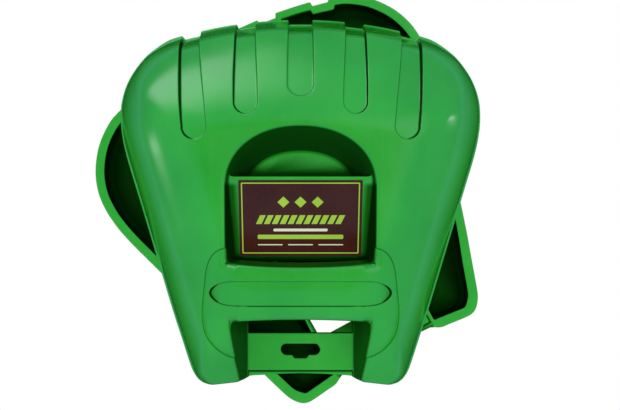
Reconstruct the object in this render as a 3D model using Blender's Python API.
"""A pair of hand-held leaf scoops, lying mouth to mouth.

Two identical one-piece plastic mouldings and a film label.  Each scoop is a
domed shell with a rim lip, five grooves that leave six finger ridges along the
tine edge, a channel for the hand (finger well, palm ramp, grip band, wrist
notch) and a hang tab with a euro hole.  The rear scoop lies on its back, turned
about the vertical axis; the front scoop lies face down on it.

Local frame of one scoop, in millimetres: +Y to the tines, -Y to the two legs,
rim plane at Z = 0, the back of the shell at Z = +90, outline symmetric about
X = 0.  "Half" sizes are half widths, measured from the centreline.
"""
import bpy
import bmesh
import math
from mathutils import Matrix, Vector

MM = 0.001

# ---- shell -----------------------------------------------------------------
DEPTH = 90.0            # rim plane to the back of the shell
WALL = 2.7
LIP_OUT = 2.5           # how far the rim lip stands outside the wall
LIP_HIGH = 2.5
SHOULDER_RUN = 115.0    # horizontal run of the shoulder curve
SHOULDER_RISE = 99.0    # its full rise, cut off flat at DEPTH
TINE_Y = 175.4          # tine edge on the centreline
TINE_BOW = 0.00120      # how the tine edge curves back: mm per mm squared
LEG_Y = -169.5          # end of the legs

# end profiles: run and rise of the steep wall, then length and power of the slope above it
TINE_PROFILE = (9.5, 36.0, 95.0, 1.6)
LEG_PROFILE = (7.0, 38.0, 88.0, 1.5)

# outline of the rim lip, right half, from the leg's inner corner to the tine edge: (x, y)
RIM_SIDE = [
    (57.0, -168.8), (70.0, -169.6), (84.0, -170.0), (91.5, -168.6), (97.5, -164.0),
    (102.1, -156.7), (107.3, -142.0), (111.8, -128.0), (121.1, -99.7), (129.7, -71.2),
    (138.2, -42.7), (149.6, -4.7), (158.2, 23.7), (163.9, 42.7), (168.4, 61.7),
    (170.5, 80.7), (169.1, 99.7), (162.4, 118.7), (149.2, 137.7), (138.7, 147.2),
    (125.0, 156.0), (115.0, 159.5),
]

# rings of the dome: first inset from the wall, then shrunk towards (0, DOME_CENTRE_Y)
DOME_INSETS = (0.05, 1.0, 2.6, 5.2)
DOME_SCALES = (0.975, 0.945, 0.905, 0.85, 0.78, 0.69, 0.58, 0.46, 0.30)
DOME_CENTRE_Y = 2.0
DOME_INSIDE_Z = 0.5     # lowest height of the hollow's inset rings

# ---- grooves ---------------------------------------------------------------
GROOVE_STEP = 4.3       # how far a groove sets back the tine edge
GROOVE_STEP_FADE = 30.0     # distance over which the set-back dies out
GROOVE_DEEP = 3.0       # depth near the tine edge
GROOVE_SHALLOW = 1.0    # depth at the round end
GROOVE_LEAD = 14.0      # distance over which the groove first deepens
GROOVE_LEAD_SHARE = 0.6     # share of the depth reached by then
GROOVE_LEAD_BLEND = 20.0    # distance scale for gaining the rest
GROOVE_OVERSHOOT = 8.0  # cutter reaches this far past the tine edge
# rows of the cutter: distances in from the tine edge, then distances short of the round end
GROOVE_ROWS = (5.0, 9.5, 14.0, 20.0, 30.0, 42.0, 55.0, 68.0)
GROOVE_END_ROWS = (12.0, 8.0, 4.0, 1.2, 0.0)
# x at the tine edge, x at the round end, half width at each, y of the round end
GROOVES = [
    (0.0, 0.0, 11.6, 12.0, 93.7),
    (51.0, 47.0, 9.4, 11.0, 78.0),
    (-51.0, -47.0, 9.4, 11.0, 78.0),
    (103.0, 90.5, 9.4, 11.5, 56.0),
    (-103.0, -90.5, 9.4, 11.5, 56.0),
]

# ---- recesses round the grip band ------------------------------------------
SADDLE_DEEP = 2.0
SADDLE_Y = -86.0
SADDLE_HALF_Y = 51.0
SADDLE_SPREAD = (-1.0, -0.84, -0.5, 0.0, 0.5, 0.84, 1.0)    # x as shares of the half width
# plan of the saddle: (y, half width)
SADDLE_STATIONS = [
    (-137.0, 59.0), (-133.5, 67.0), (-126.5, 75.5), (-114.3, 84.2), (-99.0, 87.0),
    (-72.6, 84.4), (-58.0, 82.5), (-48.0, 79.5), (-40.3, 73.9), (-35.9, 63.3),
]
SADDLE_ROWS = (-137.0, -133.5, -126.5, -114.3, -99.0, SADDLE_Y,
               -72.6, -58.0, -48.0, -40.3, -35.9)
LENS_DEEP = 1.5         # below the saddle
LENS_Y, LENS_HALF_X, LENS_HALF_Y = -76.5, 80.0, 11.2
LENS_ROUND_X = 50.0     # the ends round off from here
LENS_SPREAD = (-1.0, -0.985, -0.93, -0.84, -0.68, -0.34, 0.0,
               0.34, 0.68, 0.84, 0.93, 0.985, 1.0)

# ---- hand channel ----------------------------------------------------------
FLOOR_Z = 3.0           # top of the well floor and the hang-tab panel
CH_HALF_LOW = 50.5      # half width of the channel at FLOOR_Z
CH_DRAFT = 0.167        # draft of its walls
ARCH_Y = 15.0           # where the arch of the well springs
ARCH_RISE_LOW = 36.3    # rise of the arch at FLOOR_Z
ARCH_DRAFT = 0.194
ARCH_POWER = 0.93       # squares the arch a little
ARCH_STEPS = 20
RAMP_TOP = (21.5, 76.3)     # palm ramp, (y, z) at its top edge
RAMP_END = (-47.0, 50.0)    # and at its lower end
RAMP_DROP = 2.6 * 1.07      # its thickness, measured vertically
RAMP_GROW = WALL * 0.45     # how far it runs into the channel walls
RAMP_SLOPE = math.atan2(RAMP_TOP[1] - RAMP_END[1], RAMP_TOP[0] - RAMP_END[0])
BAND_TINE_Y = -54.0     # grip band, y of its two edges
BAND_LEG_Y = -100.0
BAND_THICK = 4.0
BAND_RIB = 12.0         # depth of the ribs under its edges
BAND_DROP = 8.0         # its underside is this much lower at the leg edge
PANEL_TINE_Y = -121.0   # hang tab
PANEL_LEG_Y = -156.4
OPENING_HALF = CH_HALF_LOW - 1.5    # openings through the channel floor
# edge of the lip between the legs, right half, from outside in: (x, y)
NOTCH_EDGE = [(57.0, -180.0), (57.0, -168.0), (49.5, -162.8), (25.0, -160.4)]
NOTCH_Y = -159.6        # the same edge on the centreline
SLOT_W, SLOT_H, SLOT_Y = 37.0, 10.5, -136.5     # euro hole
SLOT_ARC_STEPS = 8
# its bulge towards the legs, right half: (x, distance beyond the slot's edge)
SLOT_BULGE = [(4.4, 3.8), (7.2, 1.0), (9.0, 0.0)]
TOP = 130.0             # cutters reach this high

# ---- label and placing -----------------------------------------------------
LABEL_W = 107.0
LABEL_Y = (20.6, -45.4)
LABEL_THICK = 0.4
GAP = 0.3               # clearance between separate solids
TURN = math.radians(28.4)   # rear scoop's turn about Z
REAR_SHIFT = (4.4, 3.2)     # rear scoop's origin from the front scoop's


# ---- shape of the shell ----------------------------------------------------
def tine_y(x):
    return TINE_Y - TINE_BOW * x * x


def outline():
    """Outline of the rim, anticlockwise from the right leg's inner corner."""
    right = RIM_SIDE + [(float(x), tine_y(x)) for x in range(100, 0, -16)]
    return right + [(0.0, TINE_Y)] + [(-x, y) for x, y in reversed(right)]


RIM = outline()


def rim_distance(x, y):
    """Distance from a point to the nearest part of the rim outline."""
    distances = []
    for (ax, ay), (bx, by) in zip(RIM, RIM[1:] + RIM[:1]):
        dx, dy = bx - ax, by - ay
        along = ((x - ax) * dx + (y - ay) * dy) / (dx * dx + dy * dy)
        along = max(0.0, min(1.0, along))
        distances.append(math.hypot(x - ax - along * dx, y - ay - along * dy))
    return min(distances)


def end_height(distance, wall, profile):
    """Height at a distance in from an end: a steep wall, then an easing slope."""
    run, rise, length, power = profile
    if distance < run:
        return (rise - wall) * max(0.0, distance) / run
    share = min(1.0, (distance - run) / length)
    return rise - wall + (DEPTH - rise) * (1.0 - (1.0 - share) ** power)


def height(x, y, wall=0.0):
    """Height of the shell's outer face (wall = 0) or of its inner face (wall = WALL)."""
    inward = (rim_distance(x, y) - LIP_OUT - wall) / (SHOULDER_RUN - wall)
    outward = 1.0 - max(0.0, min(1.0, inward))
    side = (SHOULDER_RISE - wall) * math.sqrt(max(0.0, 1.0 - outward * outward))
    tine = end_height(tine_y(x) - LIP_OUT - wall - y, wall, TINE_PROFILE)
    leg = end_height(y - LEG_Y - LIP_OUT - wall, wall, LEG_PROFILE)
    return min(side, tine, leg, DEPTH - wall)


# ---- mesh helpers ----------------------------------------------------------
model = bpy.data.collections.new("leaf_scoop_pair")
cutters = bpy.data.collections.new("cutters")


def start():
    for ob in list(bpy.data.objects):
        bpy.data.objects.remove(ob, do_unlink=True)
    for collection in (model, cutters):
        bpy.context.scene.collection.children.link(collection)


def add_vert(bm, x, y, z):
    return bm.verts.new((x * MM, y * MM, z * MM))


def new_cutter(name, bm):
    """A working solid, not rendered."""
    bmesh.ops.recalc_face_normals(bm, faces=bm.faces)
    mesh = bpy.data.meshes.new(name)
    bm.to_mesh(mesh)
    bm.free()
    ob = bpy.data.objects.new(name, mesh)
    cutters.objects.link(ob)
    ob.hide_render = True
    ob.display_type = 'WIRE'
    return ob


def loft(name, rings):
    """A closed solid through rings of the same number of points, capped at both ends."""
    bm = bmesh.new()
    loops = [[add_vert(bm, *point) for point in ring] for ring in rings]
    count = len(loops[0])
    for low, high in zip(loops, loops[1:]):
        for i in range(count):
            j = (i + 1) % count
            bm.faces.new((low[i], low[j], high[j], high[i]))
    bm.faces.new(loops[0])
    bm.faces.new(loops[-1])
    return new_cutter(name, bm)


def above(name, rows):
    """Everything over a surface given as rows of points, up to TOP."""
    bm = bmesh.new()
    grid = [[add_vert(bm, *point) for point in row] for row in rows]
    for row, after in zip(grid, grid[1:]):
        for j in range(len(row) - 1):
            bm.faces.new((row[j], row[j + 1], after[j + 1]))
            bm.faces.new((row[j], after[j + 1], after[j]))
    edge = grid[0] + [row[-1] for row in grid[1:]]
    edge += grid[-1][-2::-1] + [row[0] for row in grid[-2:0:-1]]
    lid = [bm.verts.new((v.co.x, v.co.y, TOP * MM)) for v in edge]
    for i in range(len(edge)):
        j = (i + 1) % len(edge)
        bm.faces.new((edge[i], edge[j], lid[j], lid[i]))
    bm.faces.new(lid)
    return new_cutter(name, bm)


def write_tidied(source, target, merge, degenerate):
    """Write source into target with close vertices merged and slivers dissolved."""
    bm = bmesh.new()
    bm.from_mesh(source)
    bmesh.ops.remove_doubles(bm, verts=bm.verts, dist=merge * MM)
    bmesh.ops.dissolve_degenerate(bm, edges=bm.edges, dist=degenerate * MM)
    bm.to_mesh(target)
    bm.free()


def boolean(ob, others, operation, solver='EXACT'):
    """Cut or join one solid after another, tidying the mesh after each."""
    for other in others:
        modifier = ob.modifiers.new(operation.lower(), 'BOOLEAN')
        modifier.operation = operation
        modifier.solver = solver
        modifier.object = other
        graph = bpy.context.evaluated_depsgraph_get()
        graph.update()
        mesh = bpy.data.meshes.new_from_object(ob.evaluated_get(graph))
        ob.modifiers.clear()
        write_tidied(mesh, mesh, merge=0.004, degenerate=0.002)
        ob.data = mesh


# ---- dome and its recesses -------------------------------------------------
# Each of these takes wall = 0 for the outer body, or WALL for the hollow inside it.
def inset_rim(distance):
    """The rim's points, moved inwards."""
    points = []
    for i, (x, y) in enumerate(RIM):
        before, after = Vector(RIM[i - 1]), Vector(RIM[(i + 1) % len(RIM)])
        along = (after - before).normalized()
        inward = Vector((-along.y, along.x))
        points.append((x + inward.x * distance, y + inward.y * distance))
    return points


def dome(name, wall):
    if wall == 0.0:
        lowest = LIP_HIGH
        rings = [[(x, y, z) for x, y in RIM] for z in (0.0, LIP_HIGH)]
    else:
        lowest = DOME_INSIDE_Z
        rings = [[(x, y, -6.0) for x, y in inset_rim(LIP_OUT + wall)]]
    for inset in DOME_INSETS:
        rings.append([(x, y, max(lowest, height(x, y, wall)))
                      for x, y in inset_rim(LIP_OUT + wall + inset)])
    last_inset = rings[-1]
    for scale in DOME_SCALES:
        plan = [(x * scale, DOME_CENTRE_Y + (y - DOME_CENTRE_Y) * scale)
                for x, y, _ in last_inset]
        rings.append([(x, y, height(x, y, wall)) for x, y in plan])
    return loft(name, rings)


def groove_depth(distance, length):
    if distance < GROOVE_LEAD:
        return GROOVE_DEEP * distance / GROOVE_LEAD * GROOVE_LEAD_SHARE
    past = distance - GROOVE_LEAD
    depth = GROOVE_DEEP + (GROOVE_SHALLOW - GROOVE_DEEP) * past / (length - GROOVE_LEAD)
    return depth * min(1.0, GROOVE_LEAD_SHARE + past / GROOVE_LEAD_BLEND)


def groove(name, spec, wall):
    """Cutter for one groove: a set-back copy of the tine wall and of the face above it."""
    tine_x, end_x, tine_half, end_half, end_y = spec
    edge_y = tine_y(tine_x)
    length = edge_y - LIP_OUT - end_y

    def bow(x, share):
        """The tine edge's curve, dying out over the half at the round end."""
        return (tine_y(x) - edge_y) * min(1.0, 2.0 - 2.0 * share)

    def plan(y, share):
        """A row across the groove; share runs from 0 at the tine edge to 1 at the round end."""
        centre_x = tine_x + (end_x - tine_x) * share
        half = tine_half + (end_half - tine_half) * min(1.0, share * 1.5) + wall
        from_end = y - (end_y - wall)
        radius = end_half + wall
        if from_end < radius:
            half *= math.sqrt(max(0.01, 1.0 - (1.0 - from_end / radius) ** 2))
        xs = [centre_x + side * half for side in (-1.0, -0.5, 0.0, 0.5, 1.0)]
        return [(x, y + bow(x, share)) for x in xs]

    # level rows that clear the tine edge: (y, z)
    step_y = edge_y - GROOVE_STEP
    if wall == 0.0:
        level_rows = [(edge_y + GROOVE_OVERSHOOT, -8.0), (step_y, -8.0),
                      (step_y - 0.02, LIP_HIGH), (step_y - LIP_OUT, LIP_HIGH)]
    else:
        level_rows = [(edge_y + GROOVE_OVERSHOOT, -12.0), (step_y - LIP_OUT - wall, -12.0)]
    rows = [[(x, y, z) for x, y in plan(row_y, 0.0)] for row_y, z in level_rows]

    distances = [d for d in GROOVE_ROWS if d < length - GROOVE_LEAD]
    distances += [length - short for short in GROOVE_END_ROWS]
    for distance in distances:
        share = distance / length
        set_back = GROOVE_STEP * max(0.0, 1.0 - distance / GROOVE_STEP_FADE)
        depth = groove_depth(distance, length)
        face_y = edge_y - LIP_OUT - distance
        row_y = edge_y - LIP_OUT - wall - distance - set_back
        rows.append([(x, y, height(x, face_y + bow(x, share)) - depth - wall * 1.15)
                     for x, y in plan(row_y, share)])
    return above(name, rows)


def grooves(kind, wall):
    return [groove("groove_%s_%d" % (kind, i), spec, wall) for i, spec in enumerate(GROOVES)]


def saddle_half(y):
    """Half width of the saddle, interpolated between its stations."""
    for (y0, half0), (y1, half1) in zip(SADDLE_STATIONS, SADDLE_STATIONS[1:]):
        if y0 <= y <= y1:
            return half0 + (half1 - half0) * (y - y0) / (y1 - y0)


def saddle(name, wall):
    rows = []
    for station in SADDLE_ROWS:
        half = saddle_half(station) + wall
        y = SADDLE_Y + (station - SADDLE_Y) * (1.0 + wall / SADDLE_HALF_Y)
        rows.append([(side * half, y, height(side * half, y) - SADDLE_DEEP - wall * 1.1)
                     for side in SADDLE_SPREAD])
    return above(name, rows)


def lens():
    rows = []
    for side in LENS_SPREAD:
        x = side * LENS_HALF_X
        end = max(0.0, abs(x) - LENS_ROUND_X) / (LENS_HALF_X - LENS_ROUND_X)
        half = LENS_HALF_Y * math.sqrt(max(0.01, 1.0 - end * end))
        ys = [LENS_Y + k * half for k in (-1.0, 0.0, 1.0)]
        rows.append([(x, y, height(x, y) - SADDLE_DEEP - LENS_DEEP) for y in ys])
    return above("lens_cut", rows)


# ---- hand channel ----------------------------------------------------------
def channel_half(z):
    return CH_HALF_LOW + CH_DRAFT * (z - FLOOR_Z)


def channel_ring(z, y_low, grow=0.0):
    """Plan of the hand channel at height z, from y_low up to its arch."""
    half = channel_half(z) + grow
    rise = ARCH_RISE_LOW + ARCH_DRAFT * (z - FLOOR_Z) + grow
    ring = [(-half, y_low, z), (half, y_low, z)]
    for i in range(ARCH_STEPS + 1):
        angle = math.pi * i / ARCH_STEPS
        cosine = math.cos(angle)
        ring.append((half * math.copysign(abs(cosine) ** ARCH_POWER, cosine),
                     ARCH_Y + rise * math.sin(angle) ** ARCH_POWER, z))
    return ring


def channel_solid(name, z_low, y_low, grow=0.0):
    return loft(name, [channel_ring(z, y_low, grow) for z in (z_low, TOP)])


def block(name, y0, y1, z0, z1, half=None):
    """A block with straight sides, or with the channel's drafted sides if half is not given."""
    rings = []
    for z in (z0, z1):
        w = channel_half(z) if half is None else half
        rings.append([(-w, y0, z), (w, y0, z), (w, y1, z), (-w, y1, z)])
    return loft(name, rings)


def slab_from_side(name, profile, grow):
    """A plate given by its (y, z) profile, as wide as the channel plus grow each side."""
    return loft(name, [[(side * (channel_half(z) + grow), y, z) for y, z in profile]
                       for side in (-1, 1)])


def flat_prism(name, plan, z0, z1):
    return loft(name, [[(x, y, z) for x, y in plan] for z in (z0, z1)])


def below_band(name, thick, beyond_tine, beyond_leg, bottom, grow):
    """Void under the grip band; its top slopes down towards the legs."""
    top = DEPTH - SADDLE_DEEP - thick
    tine_edge = BAND_TINE_Y + beyond_tine
    leg_edge = BAND_LEG_Y - beyond_leg
    profile = [(tine_edge, bottom), (tine_edge, top),
               (leg_edge, top - BAND_DROP), (leg_edge, bottom)]
    return slab_from_side(name, profile, grow)


def notch_end():
    """Cutter that trims the lip between the legs."""
    plan = [(-x, y) for x, y in NOTCH_EDGE] + [(0.0, NOTCH_Y)] + NOTCH_EDGE[::-1]
    return flat_prism("notch_end_cut", plan, -8.5, FLOOR_Z + 1.5)


def euro_hole():
    """A round-ended slot with a bulge on its leg side."""
    radius = SLOT_H / 2.0
    centre_x = SLOT_W / 2.0 - radius
    plan = []
    for side in (1, -1):
        for i in range(SLOT_ARC_STEPS + 1):
            angle = -side * math.pi / 2 + math.pi * i / SLOT_ARC_STEPS
            plan.append((side * centre_x + radius * math.cos(angle),
                         SLOT_Y + radius * math.sin(angle)))
    bulge = [(x, SLOT_Y - radius - beyond) for x, beyond in SLOT_BULGE]
    plan += [(-x, y) for x, y in reversed(bulge)] + bulge
    return flat_prism("euro_hole_cut", plan, -9.5, 10.0)


def channel_voids():
    """Cutters of the channel, in cutting order; they overlap and overshoot to cut cleanly."""
    return [
        channel_solid("well_and_palm_cut", FLOOR_Z, BAND_TINE_Y),
        block("below_ramp_cut", BAND_TINE_Y + 0.9, 23.9, -7.0, FLOOR_Z + 1.4, OPENING_HALF),
        below_band("below_band_cut", BAND_THICK, beyond_tine=-3.0, beyond_leg=-3.0,
                   bottom=-7.0, grow=-0.8),
        below_band("below_band_ribs_cut", BAND_RIB, beyond_tine=0.6, beyond_leg=0.7,
                   bottom=-7.5, grow=-0.4),
        block("notch_cut", -215.0, BAND_LEG_Y, FLOOR_Z, TOP),
        block("notch_through_cut", PANEL_TINE_Y, BAND_LEG_Y - 0.9, -8.0, FLOOR_Z + 1.6,
              OPENING_HALF),
        block("lip_step_cut", -205.0, PANEL_LEG_Y, LIP_HIGH - 0.3, FLOOR_Z + 1.0,
              CH_HALF_LOW - 0.8),
        notch_end(),
        euro_hole(),
    ]


def palm_ramp():
    """The sloping plate and the upright web that carries its top edge."""
    (top_y, top_z), (end_y, end_z) = RAMP_TOP, RAMP_END
    profile = [(26.4, 1.2), (24.7, 76.5), (top_y, top_z), (end_y, end_z),
               (end_y, end_z - RAMP_DROP), (top_y - 0.6, top_z - RAMP_DROP), (23.6, 1.2)]
    return slab_from_side("ramp", profile, RAMP_GROW)


# ---- one scoop -------------------------------------------------------------
def scoop_mesh():
    body = dome("body", 0.0)
    boolean(body, [saddle("saddle_cut", 0.0), lens()] + grooves("cut", 0.0), 'DIFFERENCE')

    # the hollow keeps clear of the recesses and of the channel's walls
    hollow = dome("hollow", WALL)
    boolean(hollow, [saddle("saddle_keep", WALL)] + grooves("keep", WALL), 'DIFFERENCE')
    casing = channel_solid("channel_casing", -9.0, -210.0, WALL)
    boolean(hollow, [casing], 'DIFFERENCE', 'MANIFOLD')

    boolean(body, [hollow] + channel_voids(), 'DIFFERENCE')
    boolean(body, [palm_ramp()], 'UNION')

    mesh = bpy.data.meshes.new("scoop_moulding")
    write_tidied(body.data, mesh, merge=0.02, degenerate=0.01)
    mesh.shade_smooth()
    mesh.set_sharp_from_angle(angle=math.radians(30.0))
    return mesh


# ---- the pair --------------------------------------------------------------
def material(name, colour, roughness):
    result = bpy.data.materials.new(name)
    result.use_nodes = True
    inputs = result.node_tree.nodes["Principled BSDF"].inputs
    inputs["Base Color"].default_value = (*colour, 1.0)
    inputs["Roughness"].default_value = roughness
    return result


def footprint_middle():
    """Middle of the pair's footprint, seen from the front scoop's origin."""
    cosine, sine = math.cos(TURN), math.sin(TURN)
    points = RIM + [(-x * cosine - y * sine + REAR_SHIFT[0],
                     -x * sine + y * cosine + REAR_SHIFT[1]) for x, y in RIM]
    return [(max(values) + min(values)) / 2.0 for values in zip(*points)]


def place_scoop(side, mesh, location):
    scoop = bpy.data.objects.new(side + "_scoop", mesh)
    scoop.location = [value * MM for value in location]
    model.objects.link(scoop)
    mesh.materials.append(
        material("green_plastic_" + side, colour=(0.035, 0.33, 0.065), roughness=0.28))
    return scoop


def palm_label(front):
    """Film label on the front scoop's palm ramp, GAP above it."""
    bpy.ops.mesh.primitive_cube_add(size=1.0)
    label = bpy.context.active_object
    label.name = "palm_label"
    label.data.name = "palm_label"
    for collection in list(label.users_collection):
        collection.objects.unlink(label)
    model.objects.link(label)

    y_high, y_low = LABEL_Y
    length = (y_high - y_low) / math.cos(RAMP_SLOPE)
    size = (LABEL_W * MM, length * MM, LABEL_THICK * MM, 1.0)
    label.data.transform(Matrix.Diagonal(size))
    y = (y_high + y_low) / 2.0
    z = RAMP_END[1] + (y - RAMP_END[0]) * math.tan(RAMP_SLOPE)
    lift = GAP + LABEL_THICK / 2.0
    label.parent = front
    label.location = (0.0, (y - math.sin(RAMP_SLOPE) * lift) * MM,
                      (z + math.cos(RAMP_SLOPE) * lift) * MM)
    label.rotation_euler = (RAMP_SLOPE, 0.0, 0.0)
    label.data.materials.append(
        material("brown_film", colour=(0.05, 0.02, 0.014), roughness=0.35))


def build():
    start()
    front_mesh = scoop_mesh()
    rear_mesh = front_mesh.copy()
    # the world origin is the middle of the pair's footprint, on the ground
    mid_x, mid_y = footprint_middle()
    front = place_scoop("front", front_mesh, (-mid_x, -mid_y, DEPTH + GAP))
    rear = place_scoop("rear", rear_mesh,
                       (REAR_SHIFT[0] - mid_x, REAR_SHIFT[1] - mid_y, DEPTH))
    rear.rotation_euler = (0.0, math.pi, TURN)
    palm_label(front)


build()
